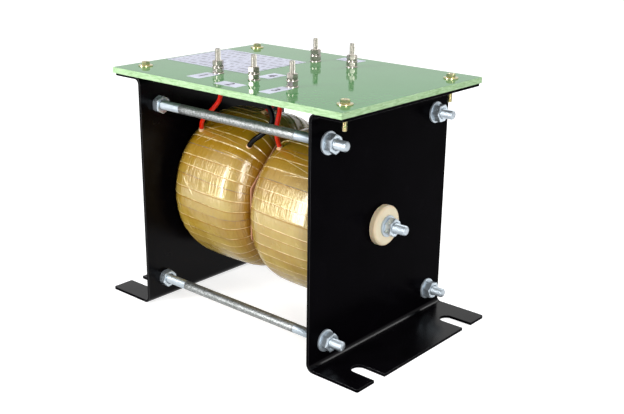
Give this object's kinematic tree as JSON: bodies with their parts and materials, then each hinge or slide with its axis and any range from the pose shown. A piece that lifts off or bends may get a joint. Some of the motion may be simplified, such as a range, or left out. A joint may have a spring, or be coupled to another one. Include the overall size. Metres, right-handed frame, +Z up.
{
  "type": "bushing current transformer",
  "caption": "Open-frame current transformer: taped toroidal coils on a through bolt between folded black end plates, under a green terminal board with stud terminals.",
  "frame": {"origin": "on the floor under the middle of the frame", "axes": "+X along the coils and the through bolt, +Y from the row of three terminals to the row of two, +Z up"},
  "size_m": [0.351, 0.222, 0.281],
  "materials": {
    "black_powder_coat": "glossy black powder coat",
    "green_laminate": "glossy woven-glass laminate, cut edges paler",
    "rod_shank_zinc": "dull galvanised shank, bright rolled threads",
    "bright_zinc": "bright zinc plate",
    "cream_nylon": "satin turned nylon",
    "insulating_board": "matt pressed board",
    "core_steel": "strip-wound steel",
    "winding_copper": "enamelled copper wire",
    "amber_tape": "glossy amber polyester film tape",
    "yellow_zinc": "iridescent yellow zinc plate",
    "nickel_plate": "bright nickel plate",
    "tinned_copper": "tinned",
    "red_insulation": "soft satin sleeve",
    "black_insulation": "soft satin sleeve"
  },
  "bodies": {
    "root": {"board_bolts": "yellow_zinc", "board_washers": "yellow_zinc", "cable_lugs": "tinned_copper", "centre_bolt": "bright_zinc", "centre_nuts": "bright_zinc", "centre_sleeve": "insulating_board", "centre_washers": "bright_zinc", "coil_separator": "insulating_board", "lead_1": "red_insulation", "lead_2": "black_insulation", "lead_3": "red_insulation", "lead_4": "red_insulation", "lead_5": "black_insulation", "left_bush": "cream_nylon", "left_coil_core": "core_steel", "left_coil_hub": "insulating_board", "left_coil_tape": "amber_tape", "left_coil_winding": "winding_copper", "left_end_plate": "black_powder_coat", "left_insulating_pad": "insulating_board", "right_bush": "cream_nylon", "right_coil_core": "core_steel", "right_coil_hub": "insulating_board", "right_coil_tape": "amber_tape", "right_coil_winding": "winding_copper", "right_end_plate": "black_powder_coat", "right_insulating_pad": "insulating_board", "terminal_base_nuts": "nickel_plate", "terminal_board": "green_laminate", "terminal_board_washers": "nickel_plate", "terminal_clamp_washers": "nickel_plate", "terminal_spring_washers": "nickel_plate", "terminal_studs": "nickel_plate", "terminal_top_nuts": "nickel_plate", "terminal_under_nuts": "nickel_plate", "tie_rod_front_lower": "rod_shank_zinc", "tie_rod_front_upper": "rod_shank_zinc", "tie_rod_inner_nuts": "bright_zinc", "tie_rod_outer_nuts": "bright_zinc", "tie_rod_rear_lower": "rod_shank_zinc", "tie_rod_rear_upper": "rod_shank_zinc", "tie_rod_washers": "bright_zinc"}
  },
  "joints": []
}
